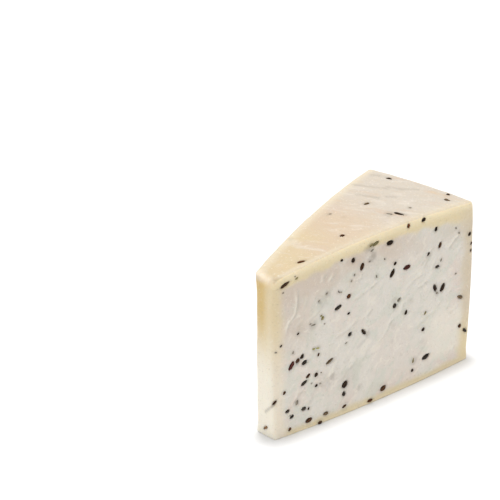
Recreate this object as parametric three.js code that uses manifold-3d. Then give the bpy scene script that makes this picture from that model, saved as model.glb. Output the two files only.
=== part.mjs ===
// A wedge of semi-hard cheese with whole caraway seeds in it, in millimetres, +Z up.
//
// The wedge is a corner piece of a pressed block. Its long front face is the cut; the narrow nose,
// the short heel, the long back, the crowned top and the flat base all keep the block's own rind.
// The laying-out frame has X along the cut from nose to heel and Y from the cut into the cheese.
// The finished group is shifted so that its origin is the middle of its box, at the base.
import * as THREE from 'three';
import { mergeVertices } from 'three/addons/utils/BufferGeometryUtils.js';
import Module from 'manifold-3d';

// Corners of the outline, counter-clockwise from above, at the base and at the belly, where it is widest.
const FOOT_CORNERS = [[0, -1], [127, -0.5], [111.5, 61], [-1.5, 11.8]];
const BELLY_CORNERS = [[-1.5, 0.5], [131.6, 0.8], [114, 63.8], [-1.6, 12.9]];
const BELLY_RISE = 0.75;          // the belly's level, as a share of the height
// The corner between the nose and the back flares towards the back again just below the rim.
const FLARED_CORNER = 3;
const FLARE_START = 0.8;          // where the flare begins, as a share of the height
const FLARE_REACH = 1.8;
// How far each side bows outwards, in the order cut, heel, back, nose.
const FOOT_BOWS = [2.8, 0.8, 1, 0.3];
const BELLY_BOWS = [0, 0, 0.6, 0.3];
// Length trimmed off both sides at each corner to soften it.
const CORNER_TRIMS = [4, 2, 2.5, 4];
const SHORTEST_TRIM = 0.4;
const CURVE_STEPS = 7;            // straight steps in each side and in each softened corner

// The top is a shallow dome centred over the middle of the cut.
const DOME_HEIGHT = 95.5;
const DOME_DROP = 4;
const DOME_REACH = 66;            // distance from the dome's centre at which it has dropped that far
const DOME_CENTRE = new THREE.Vector2(64, 0);
const FOOT_ROUND = 0.5;
const RIM_ROUND = 1.8;
const ROUND_STEPS = 3;
const WALL_STEPS = 6;
const CAP_SCALES = [0.72, 0.42, 0];

// A caraway seed is a bent spindle, pressed into a face so that part of it stands proud.
const SEED_BEND = 0.12;           // how far the ends droop, as a share of the half length
const SEED_SINK = 0.3;            // depth of the seed's axis below the face, as a share of its half girth
const SEED_DIPS = [5, -9, 12, -4, 8];   // degrees that the long axis turns into the face, used in turn
const SEED_SIDES = 7;
const SEED_RINGS = 5;
const POCKET_GAP = 0.3;
const MERGE_REACH = 1e-4;         // vertices this near each other become one

// Each seed: across the face, up the face, lean from level in degrees, length, girth. Seen from outside.
const SEEDS_ON_CUT = [
  [7, 87.5, 20, 6, 1.6], [57, 79.5, 75, 4.5, 2], [65.5, 90, 15, 4.5, 1.5], [75, 87, 0, 4.2, 2.4],
  [108.5, 73.5, 65, 3.5, 1.5], [77, 68.5, 60, 5, 1.8], [86.5, 68.5, 5, 4.5, 2.4],
  [105.5, 49.5, -75, 4.5, 1.9], [110.5, 48, 60, 4.8, 2.1], [122.5, 38, -30, 4, 1.7],
  [98.5, 12.5, 15, 5.5, 2.2], [125.5, 17.5, -50, 3.5, 1.5], [69, 5.5, 25, 4, 2.2],
  [41.5, 61.5, 20, 4.5, 1.8], [58, 41.5, -55, 4.5, 1.6], [35.5, 33, 20, 5, 1.3], [15, 40.5, 50, 3, 1.8],
  [19.5, 38, 15, 3.5, 1.9], [11, 39, 55, 5.4, 2], [19, 26.5, 25, 4.5, 1.5], [44.5, 16.5, 45, 4, 2.9],
  [18, 12, 0, 2.8, 2.1], [21, 4.5, 15, 4.5, 2.3], [31.5, 4.5, 5, 3, 1.7], [51, 85.5, 80, 2.5, 1.9],
  [87, 92.5, 85, 2.5, 1.4], [97, 92.5, 50, 2.6, 1.8], [105.5, 84, 65, 2.3, 1.4],
  [107, 61.5, 0, 2.5, 1.3], [78.5, 49, 65, 2.6, 2], [81.5, 51.5, 35, 2.2, 1.3], [48.5, 65.5, 35, 2.6, 2],
  [49, 43.5, 35, 2.4, 1.5], [18, 42, 50, 2.7, 1.7], [21.5, 29.5, 35, 3, 1.3], [43.5, 11.5, 75, 2.4, 1.9],
  [0.5, 21.2, 50, 3.2, 1.1], [8, 14, 15, 2.5, 1.7], [10.5, 10, 35, 2.5, 1.5], [60, 1.7, 0, 3.5, 1.5],
];
const SEEDS_ON_TOP = [
  [21, 5, -15, 4.5, 1.3], [112, 46, -70, 3.5, 1.4], [119.5, 8.5, -55, 3.5, 1.5], [83, 29, -10, 3.2, 1.5],
  [89, 9.5, -60, 6.5, 1.4], [52, 10.5, -5, 2.6, 1.6],
];
const SEEDS_ON_NOSE = [[-6, 4.5, 42, 4.6, 1.3]];
const SEEDS_ON_HEEL = [
  [13, 71, 35, 4.5, 1.7], [38, 52, -20, 5, 1.5], [22, 27, 70, 4, 2], [49, 14, 10, 4.5, 1.8],
];
const SEEDS_ON_BACK = [
  [-18, 66, 30, 5, 1.6], [-36, 38, -50, 4, 1.9], [-47, 79, 10, 4.5, 1.5], [-61, 17, 65, 5, 2],
  [-72, 55, -15, 4.5, 1.7], [-88, 81, 40, 4, 1.5], [-93, 31, 20, 5.5, 1.9], [-107, 60, -70, 4.5, 1.6],
];
// The direction in which each face is entered, and which way is up on it.
const FACES = [
  { seeds: SEEDS_ON_CUT, inward: [0, 1, 0], upward: [0, 0, 1] },
  { seeds: SEEDS_ON_TOP, inward: [0, 0, -1], upward: [0, 1, 0] },
  { seeds: SEEDS_ON_NOSE, inward: [1, 0, 0], upward: [0, 0, 1] },
  { seeds: SEEDS_ON_HEEL, inward: [-1, 0, 0], upward: [0, 0, 1] },
  { seeds: SEEDS_ON_BACK, inward: [0, -1, 0], upward: [0, 0, 1] },
];
const STAND_OFF = 300;            // a start well outside the wedge, for finding a point on a face

const PASTE_LOOK = { color: 0xe3dccb, roughness: 0.62, metalness: 0 };
const SEED_LOOK = { color: 0x2e1f18, roughness: 0.55, metalness: 0 };

const mix = (a, b, t) => a + (b - a) * t;

function domeHeight(x, y) {
  const reach = Math.hypot(x - DOME_CENTRE.x, y - DOME_CENTRE.y) / DOME_REACH;
  return DOME_HEIGHT - DOME_DROP * reach * reach;
}

// The sides lean out as they rise and draw in a little again near the rim: 0 at the base, 1 at the belly.
const lean = (rise) => 1 - (1 - rise / BELLY_RISE) ** 2;
const flare = (rise) => FLARE_REACH * (Math.max(rise - FLARE_START, 0) / (1 - FLARE_START)) ** 2;

// Each corner moved inwards, so that the outline's sides all sit `inset` further in.
function insetCorners(corners, inset) {
  const points = corners.map(([x, y]) => new THREE.Vector2(x, y));
  return points.map((corner, i) => {
    const toNext = points[(i + 1) % 4].clone().sub(corner).normalize();
    const toLast = points[(i + 3) % 4].clone().sub(corner).normalize();
    const sine = Math.abs(toNext.cross(toLast));
    return corner.clone().add(toNext.add(toLast).multiplyScalar(inset / sine));
  });
}

// The outline at one level, as points that run counter-clockwise.
function outline(rise, inset) {
  const share = lean(rise);
  const level = FOOT_CORNERS.map(([footX, footY], i) => {
    const [bellyX, bellyY] = BELLY_CORNERS[i];
    const flared = i === FLARED_CORNER ? flare(rise) : 0;
    return [mix(footX, bellyX, share), mix(footY, bellyY, share) + flared];
  });
  const corners = insetCorners(level, inset);
  const trims = CORNER_TRIMS.map((trim) => Math.max(trim - inset, SHORTEST_TRIM));
  const shape = new THREE.Shape();
  corners.forEach((corner, i) => {
    const next = corners[(i + 1) % 4];
    const along = next.clone().sub(corner).normalize();
    const outward = new THREE.Vector2(along.y, -along.x);
    const start = corner.clone().addScaledVector(along, trims[i]);
    const end = next.clone().addScaledVector(along, -trims[(i + 1) % 4]);
    const bow = mix(FOOT_BOWS[i], BELLY_BOWS[i], share);
    const crest = start.clone().add(end).multiplyScalar(0.5).addScaledVector(outward, 2 * bow);
    if (i === 0) shape.moveTo(start.x, start.y);
    shape.quadraticCurveTo(crest.x, crest.y, end.x, end.y);
    const onward = corners[(i + 2) % 4].clone().sub(next).normalize();
    const turned = next.clone().addScaledVector(onward, trims[(i + 1) % 4]);
    shape.quadraticCurveTo(next.x, next.y, turned.x, turned.y);
  });
  const curves = shape.curves.length;
  return shape.getPoints(CURVE_STEPS).slice(0, curves * CURVE_STEPS);
}

const middle = (ring) => ring.reduce((sum, p) => sum.add(p), new THREE.Vector2()).divideScalar(ring.length);
const raised = (ring, height) => ring.map((p) => new THREE.Vector3(p.x, p.y, height(p.x, p.y)));

// The wedge as rings of points, from the middle of the base, up the walls, to the middle of the dome.
function pasteRings() {
  const base = outline(0, FOOT_ROUND);
  const rings = [raised(base.map(() => middle(base)), () => 0)];
  for (let i = 0; i <= ROUND_STEPS; i += 1) {
    const turn = (i / ROUND_STEPS) * (Math.PI / 2);
    const inset = FOOT_ROUND * (1 - Math.sin(turn));
    rings.push(raised(outline(0, inset), () => FOOT_ROUND * (1 - Math.cos(turn))));
  }
  for (let i = 1; i <= WALL_STEPS; i += 1) {
    const rise = i / WALL_STEPS;
    rings.push(raised(outline(rise, 0), (x, y) => mix(FOOT_ROUND, domeHeight(x, y) - RIM_ROUND, rise)));
  }
  for (let i = 1; i <= ROUND_STEPS; i += 1) {
    const turn = (i / ROUND_STEPS) * (Math.PI / 2);
    const drop = RIM_ROUND * (1 - Math.sin(turn));
    rings.push(raised(outline(1, RIM_ROUND * (1 - Math.cos(turn))), (x, y) => domeHeight(x, y) - drop));
  }
  const rim = outline(1, RIM_ROUND);
  for (const scale of CAP_SCALES) {
    rings.push(raised(rim.map((p) => middle(rim).lerp(p, scale)), domeHeight));
  }
  return rings;
}

// A lathe gives the closed surface its faces; every vertex then moves to its place on the wedge.
function wedgeGeometry() {
  const rings = pasteRings();
  const last = rings.length - 1;
  const around = rings[0].length;
  const profile = rings.map((_, row) => new THREE.Vector2(Math.sin((row / last) * Math.PI), row));
  const geometry = new THREE.LatheGeometry(profile, around);
  const position = geometry.attributes.position;
  for (let i = 0; i < position.count; i += 1) {
    const point = rings[i % rings.length][Math.floor(i / rings.length) % around];
    position.setXYZ(i, point.x, point.y, point.z);
  }
  return geometry;
}

// A bent spindle with its long axis along X and its back along +Z.
function seedGeometry([, , , length, girth], extra) {
  const halfLength = length / 2 + extra;
  const halfGirth = girth / 2 + extra;
  const geometry = new THREE.SphereGeometry(1, SEED_SIDES, SEED_RINGS);
  geometry.rotateZ(Math.PI / 2);
  geometry.scale(halfLength, halfGirth, halfGirth);
  const position = geometry.attributes.position;
  for (let i = 0; i < position.count; i += 1) {
    const share = position.getX(i) / halfLength;
    position.setZ(i, position.getZ(i) - SEED_BEND * halfGirth * share * share);
  }
  return geometry;
}

// Where a seed lies: its middle on the face and its own axes turned to the face's slope.
function seedPlace(wedge, face, [across, up, leanAngle, , girth], dip) {
  const inward = new THREE.Vector3(...face.inward);
  const upward = new THREE.Vector3(...face.upward);
  const sideways = inward.clone().cross(upward);
  const start = sideways.multiplyScalar(across).addScaledVector(upward, up);
  start.addScaledVector(inward, -STAND_OFF);
  const hit = new THREE.Raycaster(start, inward).intersectObject(wedge)[0];
  const normal = hit.face.normal.clone();
  const level = upward.clone().cross(normal).normalize();
  const rising = normal.clone().cross(level);
  const turn = THREE.MathUtils.degToRad(leanAngle);
  const tilt = THREE.MathUtils.degToRad(dip);
  const along = level.multiplyScalar(Math.cos(turn)).addScaledVector(rising, Math.sin(turn));
  const long = along.clone().multiplyScalar(Math.cos(tilt)).addScaledVector(normal, -Math.sin(tilt));
  const back = normal.clone().multiplyScalar(Math.cos(tilt)).addScaledVector(along, Math.sin(tilt));
  const centre = hit.point.clone().addScaledVector(normal, -SEED_SINK * girth / 2);
  return new THREE.Matrix4().makeBasis(long, back.clone().cross(long), back).setPosition(centre);
}

const wasm = await Module();
wasm.setup();

function toSolid(geometry, place) {
  const bare = geometry.clone().applyMatrix4(place);
  bare.deleteAttribute('normal');
  bare.deleteAttribute('uv');
  const merged = mergeVertices(bare, MERGE_REACH);
  const vertProperties = new Float32Array(merged.attributes.position.array);
  const triVerts = new Uint32Array(merged.index.array);
  return new wasm.Manifold(new wasm.Mesh({ numProp: 3, vertProperties, triVerts }));
}

function toGeometry(solid) {
  const { vertProperties, triVerts } = solid.getMesh();
  const geometry = new THREE.BufferGeometry();
  geometry.setAttribute('position', new THREE.BufferAttribute(vertProperties, 3));
  geometry.setIndex(new THREE.BufferAttribute(triVerts, 1));
  geometry.computeVertexNormals();
  return geometry;
}

const group = new THREE.Group();
const wedge = new THREE.Mesh(wedgeGeometry(), new THREE.MeshStandardMaterial(PASTE_LOOK));
let pasteSolid = toSolid(wedge.geometry, new THREE.Matrix4());
let seedCount = 0;
for (const face of FACES) {
  for (const seed of face.seeds) {
    const place = seedPlace(wedge, face, seed, SEED_DIPS[seedCount % SEED_DIPS.length]);
    seedCount += 1;
    const piece = new THREE.Mesh(seedGeometry(seed, 0), new THREE.MeshStandardMaterial(SEED_LOOK));
    piece.name = `caraway_seed_${String(seedCount).padStart(2, '0')}`;
    place.decompose(piece.position, piece.quaternion, piece.scale);
    group.add(piece);
    pasteSolid = pasteSolid.subtract(toSolid(seedGeometry(seed, POCKET_GAP), place));
  }
}
const paste = new THREE.Mesh(toGeometry(pasteSolid), wedge.material);
paste.name = 'cheese_paste';
group.add(paste);

const box = new THREE.Box3().setFromObject(group);
const centre = box.getCenter(new THREE.Vector3());
group.position.set(-centre.x, -centre.y, -box.min.z);
export default group;
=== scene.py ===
"""Looks of a cheese wedge with caraway seeds: torn pale paste on the cut, warm rind on every other side.

Sizes on the wedge are in laying-out millimetres: X runs along the cut from the nose to the heel, Y from
the cut into the cheese, and Z up from the base. Layout turns them into the frame's metres.
"""
import logging
import math
import random
from dataclasses import dataclass, field
from enum import Enum, IntEnum
from typing import Optional, Sequence

import bmesh
import bpy
import numpy as np
from mathutils import Matrix, Vector, noise


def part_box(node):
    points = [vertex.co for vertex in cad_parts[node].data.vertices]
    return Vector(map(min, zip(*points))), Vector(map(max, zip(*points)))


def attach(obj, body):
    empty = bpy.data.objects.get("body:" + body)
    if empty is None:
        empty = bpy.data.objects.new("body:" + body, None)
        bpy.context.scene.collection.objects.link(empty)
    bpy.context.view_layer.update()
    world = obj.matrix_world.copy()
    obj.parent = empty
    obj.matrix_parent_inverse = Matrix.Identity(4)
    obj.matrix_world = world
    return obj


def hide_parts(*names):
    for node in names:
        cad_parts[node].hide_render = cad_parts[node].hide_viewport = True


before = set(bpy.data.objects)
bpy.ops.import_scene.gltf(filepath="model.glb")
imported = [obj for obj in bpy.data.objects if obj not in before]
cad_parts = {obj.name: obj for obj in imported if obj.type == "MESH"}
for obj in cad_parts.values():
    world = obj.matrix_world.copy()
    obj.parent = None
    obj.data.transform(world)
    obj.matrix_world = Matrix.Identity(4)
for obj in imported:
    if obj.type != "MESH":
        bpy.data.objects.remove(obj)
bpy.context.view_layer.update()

log = logging.getLogger("cheese_wedge")

MM = 0.001
PASTE_NODE = "cheese_paste"
SEED_PREFIX = "caraway_seed_"
BODY = "root"


# ---- Small helpers ----

def tint(red: float, green: float, blue: float) -> tuple[float, float, float]:
    """Turns display values into the linear colour that a shader takes.

    Args:
        red: Red, from 0 to 255.
        green: Green, from 0 to 255.
        blue: Blue, from 0 to 255.

    Returns:
        The same colour as three linear shares.
    """
    def straight(value: float) -> float:
        """Undoes the display curve for one value."""
        share = value / 255
        return share / 12.92 if share <= 0.04045 else ((share + 0.055) / 1.055) ** 2.4
    return straight(red), straight(green), straight(blue)


def smoothstep(low: float, high: float, values: np.ndarray) -> np.ndarray:
    """Rises smoothly from 0 at low to 1 at high, and falls instead where high is below low."""
    share = np.clip((values - low) / (high - low), 0.0, 1.0)
    return share * share * (3 - 2 * share)


def arch(share: np.ndarray) -> np.ndarray:
    """Rises from 0 at both ends of a share from 0 to 1, to 1 in its middle."""
    return 4 * share * (1 - share)


def bell(values: np.ndarray, centre: float, width: float) -> np.ndarray:
    """Falls away from 1 on both sides of a centre."""
    return np.exp(-((values - centre) / width) ** 2)


@dataclass(frozen=True)
class Fade:
    """A smooth rise from nothing at one value to full strength at another."""
    nothing: float
    full: float
    strength: float = 1.0

    def __call__(self, values: np.ndarray) -> np.ndarray:
        """Returns the strength at each value."""
        return self.strength * smoothstep(self.nothing, self.full, values)


def read_points(mesh: bpy.types.Mesh) -> np.ndarray:
    """Reads where a mesh's vertices are.

    Args:
        mesh: The mesh to read.

    Returns:
        One row of three numbers for each vertex.
    """
    points = np.empty(len(mesh.vertices) * 3)
    mesh.vertices.foreach_get("co", points)
    return points.reshape(-1, 3)


def write_points(mesh: bpy.types.Mesh, points: np.ndarray) -> None:
    """Moves a mesh's vertices to the given rows."""
    mesh.vertices.foreach_set("co", np.ascontiguousarray(points, dtype=np.float64).ravel())
    mesh.update()


def segment_distance(places: np.ndarray, start: tuple, end: tuple) -> np.ndarray:
    """Measures how far places are from a straight line between two ends.

    Args:
        places: Rows of two or three numbers.
        start: One end of the line.
        end: Its other end.

    Returns:
        One distance for each place.
    """
    run = np.subtract(end, start)
    share = np.clip((places - start) @ run / (run @ run), 0, 1)
    return np.linalg.norm(places - start - share[:, None] * run, axis=1)


def write_values(mesh: bpy.types.Mesh, name: str, values: np.ndarray) -> None:
    """Stores one number for each vertex under a name that a material reads."""
    layer = mesh.attributes.get(name) or mesh.attributes.new(name, "FLOAT", "POINT")
    layer.data.foreach_set("value", np.ascontiguousarray(values, dtype=np.float32))


def sample(points: np.ndarray, scale: Sequence[float], seed: float, octaves: int = 1) -> np.ndarray:
    """Reads smooth noise at each point.

    Args:
        points: Rows of positions in millimetres.
        scale: Size of the noise's lumps along each axis, in millimetres.
        seed: Offset that keeps one pattern apart from another.
        octaves: How many finer layers are added.

    Returns:
        One value for each point, about -1 to 1.
    """
    shifted = points / np.asarray(scale) + seed
    if octaves == 1:
        return np.array([noise.noise(row) for row in shifted])
    return np.array([noise.fractal(row, 1.0, 2.1, octaves) for row in shifted])


@dataclass(frozen=True)
class Lumps:
    """Smooth random relief: its height, the size of its lumps, its own seed and how many layers it has."""
    height: float
    size: tuple
    seed: float
    octaves: int = 1

    def __call__(self, points: np.ndarray) -> np.ndarray:
        """Returns the relief at each point."""
        return self.height * sample(points, self.size, self.seed, self.octaves)


# ---- Shader arithmetic ----

class Shade:
    """One value in a shader, on which Python arithmetic adds Math nodes."""

    def __init__(self, painter: "Painter", socket: bpy.types.NodeSocket) -> None:
        """Wraps an output socket of the painter's material."""
        self.painter = painter
        self.socket = socket

    def _math(self, operation: str, *values: object) -> "Shade":
        """Adds a Math node over the given values."""
        made = self.painter.node("ShaderNodeMath", {"operation": operation}, dict(enumerate(values)))
        return Shade(self.painter, made.outputs[0])

    def __add__(self, other: object) -> "Shade":
        """Adds."""
        return self._math("ADD", self, other)

    __radd__ = __add__

    def __sub__(self, other: object) -> "Shade":
        """Subtracts other from this."""
        return self._math("SUBTRACT", self, other)

    def __rsub__(self, other: object) -> "Shade":
        """Subtracts this from other."""
        return self._math("SUBTRACT", other, self)

    def __mul__(self, other: object) -> "Shade":
        """Multiplies."""
        return self._math("MULTIPLY", self, other)

    __rmul__ = __mul__

    def between(self, low: float, high: float, most: float = 1.0) -> "Shade":
        """Rises smoothly as this passes through a range, and stays level beyond it.

        Args:
            low: Where the rise starts, from 0.
            high: Where it ends, which may be below low.
            most: What it rises to.

        Returns:
            The risen value.
        """
        settings = {"interpolation_type": "SMOOTHSTEP", "clamp": True}
        inputs = {0: self, 1: low, 2: high, 3: 0.0, 4: most}
        return Shade(self.painter, self.painter.node("ShaderNodeMapRange", settings, inputs).outputs[0])


@dataclass(frozen=True)
class Wash:
    """A colour that comes in over another as a pattern passes from low to high."""
    colour: tuple
    low: float
    high: float
    most: float = 1.0


class Painter:
    """Builds one material's nodes."""

    def __init__(self, name: str) -> None:
        """Starts a material with an empty node tree.

        Args:
            name: The material's name.
        """
        self.material = bpy.data.materials.new(name)
        self.material.use_nodes = True
        self.tree = self.material.node_tree
        self.tree.nodes.clear()
        self.place = self.node("ShaderNodeTexCoord", {}, {}).outputs["Object"]

    def node(self, kind: str, settings: dict, inputs: dict) -> bpy.types.Node:
        """Adds a node.

        Args:
            kind: Blender's name for the node type.
            settings: Attributes of the node, set before its sockets.
            inputs: Socket name or number to a constant, a socket or a Shade.

        Returns:
            The new node.
        """
        made = self.tree.nodes.new(kind)
        for key, value in settings.items():
            setattr(made, key, value)
        for key, value in inputs.items():
            value = value.socket if isinstance(value, Shade) else value
            if isinstance(value, bpy.types.NodeSocket):
                self.tree.links.new(value, made.inputs[key])
            elif isinstance(value, tuple) and len(value) == 3 and made.inputs[key].type == "RGBA":
                made.inputs[key].default_value = (*value, 1.0)
            else:
                made.inputs[key].default_value = value
        return made

    def attribute(self, name: str) -> Shade:
        """Reads one of the mesh's stored values."""
        settings = {"attribute_name": name, "attribute_type": "GEOMETRY"}
        return Shade(self, self.node("ShaderNodeAttribute", settings, {}).outputs["Fac"])

    def stretched(self, turn: Sequence[float], stretch: Sequence[float]) -> bpy.types.NodeSocket:
        """Turns and stretches the object's own coordinates, for a pattern with a grain.

        Args:
            turn: Turn about each axis, in radians.
            stretch: How many times longer the pattern becomes along each turned axis.

        Returns:
            The coordinates at which to read the pattern.
        """
        turned = self.node("ShaderNodeMapping", {"vector_type": "TEXTURE"},
                           {"Vector": self.place, "Rotation": tuple(turn), "Scale": tuple(stretch)})
        return turned.outputs[0]

    def noise(self, size: float, detail: float = 2.0, roughness: float = 0.5, distortion: float = 0.0,
              where: Optional[bpy.types.NodeSocket] = None) -> Shade:
        """Reads smooth noise.

        Args:
            size: About how many metres its lumps measure across.
            detail: How many finer layers it has.
            roughness: How strong the finer layers are.
            distortion: How far the lumps are drawn out of shape.
            where: Coordinates at which to read it, if not the object's own.

        Returns:
            A value of about 0 to 1.
        """
        inputs = {"Vector": where or self.place, "Scale": 1 / size, "Detail": detail,
                  "Roughness": roughness, "Distortion": distortion}
        return Shade(self, self.node("ShaderNodeTexNoise", {"noise_dimensions": "3D"}, inputs).outputs[0])

    def cells(self, size: float) -> Shade:
        """Reads the distance to the nearest of many scattered points about size metres apart."""
        inputs = {"Vector": self.place, "Scale": 1 / size}
        return Shade(self, self.node("ShaderNodeTexVoronoi", {"feature": "F1"}, inputs).outputs["Distance"])

    def blend(self, base: object, over: object, share: object) -> bpy.types.NodeSocket:
        """Lays one colour over another by a share from 0 to 1."""
        settings = {"data_type": "RGBA", "blend_type": "MIX", "clamp_factor": True}
        return self.node("ShaderNodeMix", settings, {0: share, 6: base, 7: over}).outputs[2]

    def wash(self, base: object, wash: Wash, pattern: Shade,
             within: Optional[Shade] = None) -> bpy.types.NodeSocket:
        """Lays a wash over a colour.

        Args:
            base: The colour below.
            wash: The colour above, and the values between which it comes in.
            pattern: The pattern that brings it in.
            within: A share that holds it back, if it isn't free to cover the whole piece.

        Returns:
            The mixed colour.
        """
        share = pattern.between(wash.low, wash.high, wash.most)
        return self.blend(base, wash.colour, share if within is None else share * within)

    def bump(self, height: Shade, depth: float) -> bpy.types.NodeSocket:
        """Turns a height pattern into a normal; depth is in metres."""
        inputs = {"Height": height, "Distance": depth, "Strength": 1.0}
        return self.node("ShaderNodeBump", {}, inputs).outputs[0]

    def finish(self, values: dict) -> bpy.types.Material:
        """Closes the material with one Principled shader.

        Args:
            values: Socket name to a constant, a socket or a Shade.

        Returns:
            The finished material.
        """
        shader = self.node("ShaderNodeBsdfPrincipled", {"subsurface_method": "RANDOM_WALK"}, values)
        self.node("ShaderNodeOutputMaterial", {}, {"Surface": shader.outputs[0]})
        return self.material


# ---- The wedge's shape ----

class Face(IntEnum):
    """The wedge's faces: its upright sides in the order of their corners, then its top and its base."""
    CUT = 0
    HEEL = 1
    BACK = 2
    NOSE = 3
    TOP = 4
    BASE = 5


SIDES = (Face.CUT, Face.HEEL, Face.BACK, Face.NOSE)


@dataclass(frozen=True)
class WedgeShape:
    """The wedge's outline and dome in laying-out millimetres, as its solid has them."""
    foot_corners: tuple = ((0.0, -1.0), (127.0, -0.5), (111.5, 61.0), (-1.5, 11.8))
    belly_corners: tuple = ((-1.5, 0.5), (131.6, 0.8), (114.0, 63.8), (-1.6, 12.9))
    flared_corner: Face = Face.NOSE
    flare_start: float = 0.8
    flare_reach: float = 1.8
    foot_bows: tuple = (2.8, 0.8, 1.0, 0.3)
    belly_bows: tuple = (0.0, 0.0, 0.6, 0.3)
    belly_rise: float = 0.75
    dome_height: float = 95.5
    dome_drop: float = 4.0
    dome_reach: float = 66.0
    dome_centre: tuple = (64.0, 0.0)
    # How softly the faces meet, and how near an edge and how far from the base and the back it changes.
    foot_softness: float = 0.25
    edge_softness: float = 0.85
    nose_softness: float = 2.8
    soft_reach: Fade = Fade(9.0, 2.0)
    soft_rise: Fade = Fade(0.0, 45.0)
    soft_top_share: float = 0.75
    soft_from_back: Fade = Fade(1.0, 8.0)
    foot_rise: Fade = Fade(0.0, 7.0)
    settle_rounds: int = 4
    settle_probe: float = 0.02
    normal_probe: float = 0.05

    def dome(self, x: np.ndarray, y: np.ndarray) -> np.ndarray:
        """Returns the top's height over each place."""
        reach = np.hypot(x - self.dome_centre[0], y - self.dome_centre[1]) / self.dome_reach
        return self.dome_height - self.dome_drop * reach * reach

    def lean(self, rise: np.ndarray) -> np.ndarray:
        """Returns how far each level has come from the base's outline to the belly's."""
        return 1 - (1 - rise / self.belly_rise) ** 2

    def corner(self, index: int, rise: np.ndarray) -> np.ndarray:
        """Finds one corner of the outline.

        Args:
            index: The side that starts at this corner; past the last, the count starts again.
            rise: Levels, from 0 at the base to 1 at the top.

        Returns:
            Rows of along and inwards, one for each level.
        """
        index %= len(SIDES)
        foot = np.asarray(self.foot_corners[index])
        belly = np.asarray(self.belly_corners[index])
        place = foot + (belly - foot) * self.lean(rise)[:, None]
        if index == self.flared_corner:
            flare = np.maximum(rise - self.flare_start, 0) / (1 - self.flare_start)
            place[:, 1] += self.flare_reach * flare ** 2
        return place

    def bow(self, side: int, rise: np.ndarray) -> np.ndarray:
        """Returns how far one side bows outwards at each level."""
        return self.foot_bows[side] + (self.belly_bows[side] - self.foot_bows[side]) * self.lean(rise)

    def fill(self, cube: np.ndarray) -> np.ndarray:
        """Moves points of a unit cube onto the wedge.

        Args:
            cube: Rows of three shares: along the cut, into the cheese, and up.

        Returns:
            Rows of positions in millimetres.
        """
        along, inwards, rise = cube.T
        cut_start, heel_start, back_start, nose_start = (self.corner(side, rise) for side in SIDES)
        front = cut_start + (heel_start - cut_start) * along[:, None]
        rear = nose_start + (back_start - nose_start) * along[:, None]
        plan = front + (rear - front) * inwards[:, None]
        plan[:, 1] -= self.bow(Face.CUT, rise) * arch(along) * (1 - inwards)
        plan[:, 1] += self.bow(Face.BACK, rise) * arch(along) * inwards
        plan[:, 0] += self.bow(Face.HEEL, rise) * arch(inwards) * along
        plan[:, 0] -= self.bow(Face.NOSE, rise) * arch(inwards) * (1 - along)
        return np.column_stack((plan, rise * self.dome(plan[:, 0], plan[:, 1])))

    def depth(self, side: Face, points: np.ndarray) -> np.ndarray:
        """Measures how far points lie inside one upright side.

        Args:
            side: The side.
            points: Rows of positions.

        Returns:
            One depth for each point, below 0 outside.
        """
        rise = np.clip(points[:, 2] / self.dome(points[:, 0], points[:, 1]), 0, 1)
        start = self.corner(side, rise)
        along = self.corner(side + 1, rise) - start
        length = np.linalg.norm(along, axis=1)
        unit = along / length[:, None]
        offset = points[:, :2] - start
        run = np.clip((offset * unit).sum(1) / length, 0, 1)
        outwards = offset[:, 0] * unit[:, 1] - offset[:, 1] * unit[:, 0]
        return self.bow(side, rise) * arch(run) - outwards

    def depths(self, points: np.ndarray) -> np.ndarray:
        """Returns a row of depths for every face, in the order of Face."""
        sides = [self.depth(side, points) for side in SIDES]
        return np.array(sides + [self.dome(points[:, 0], points[:, 1]) - points[:, 2], points[:, 2]])

    def softness(self, depths: np.ndarray) -> np.ndarray:
        """Finds how softly the faces meet: crisp at the foot, softest round the nose's front edge.

        Args:
            depths: A row of depths for every face.

        Returns:
            About the radius of the edge near each point, in millimetres.
        """
        cut, _, back, nose, top, base = depths
        by_cut = self.soft_reach(cut) * self.soft_rise(base)
        by_top = self.soft_top_share * self.soft_reach(top) * self.soft_from_back(back)
        nose_edge = self.soft_reach(nose) * np.maximum(by_cut, by_top)
        grown = self.edge_softness + (self.nose_softness - self.edge_softness) * nose_edge
        return self.foot_softness + (grown - self.foot_softness) * self.foot_rise(base)

    def skin(self, points: np.ndarray, softness: np.ndarray) -> np.ndarray:
        """Returns each point's depth below the wedge's surface, its edges rounded over."""
        return -softness * np.log(np.exp(-self.depths(points) / softness).sum(0))

    def settle(self, points: np.ndarray) -> np.ndarray:
        """Moves points near the surface onto it.

        Args:
            points: Rows of positions.

        Returns:
            The moved rows, none of them below the base.
        """
        settled = points.copy()
        softness = self.softness(self.depths(points))
        for _ in range(self.settle_rounds):
            slopes = []
            for axis in np.eye(3) * self.settle_probe:
                slopes.append(self.skin(settled + axis, softness) - self.skin(settled - axis, softness))
            slope = np.array(slopes).T / (2 * self.settle_probe)
            short = self.skin(settled, softness) / (slope * slope).sum(1)
            settled -= slope * short[:, None]
        settled[:, 2] = np.maximum(settled[:, 2], 0)
        return settled

    def outward(self, point: np.ndarray) -> np.ndarray:
        """Finds the direction that the surface faces.

        Args:
            point: A position near the surface.

        Returns:
            A direction of length 1, out of the cheese.
        """
        softness = self.softness(self.depths(point[None]))
        step = self.normal_probe * np.eye(3)
        rows = np.vstack([point + step, point - step])
        levels = self.skin(rows, softness)
        slope = levels[:3] - levels[3:]
        return -slope / np.linalg.norm(slope)


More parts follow.
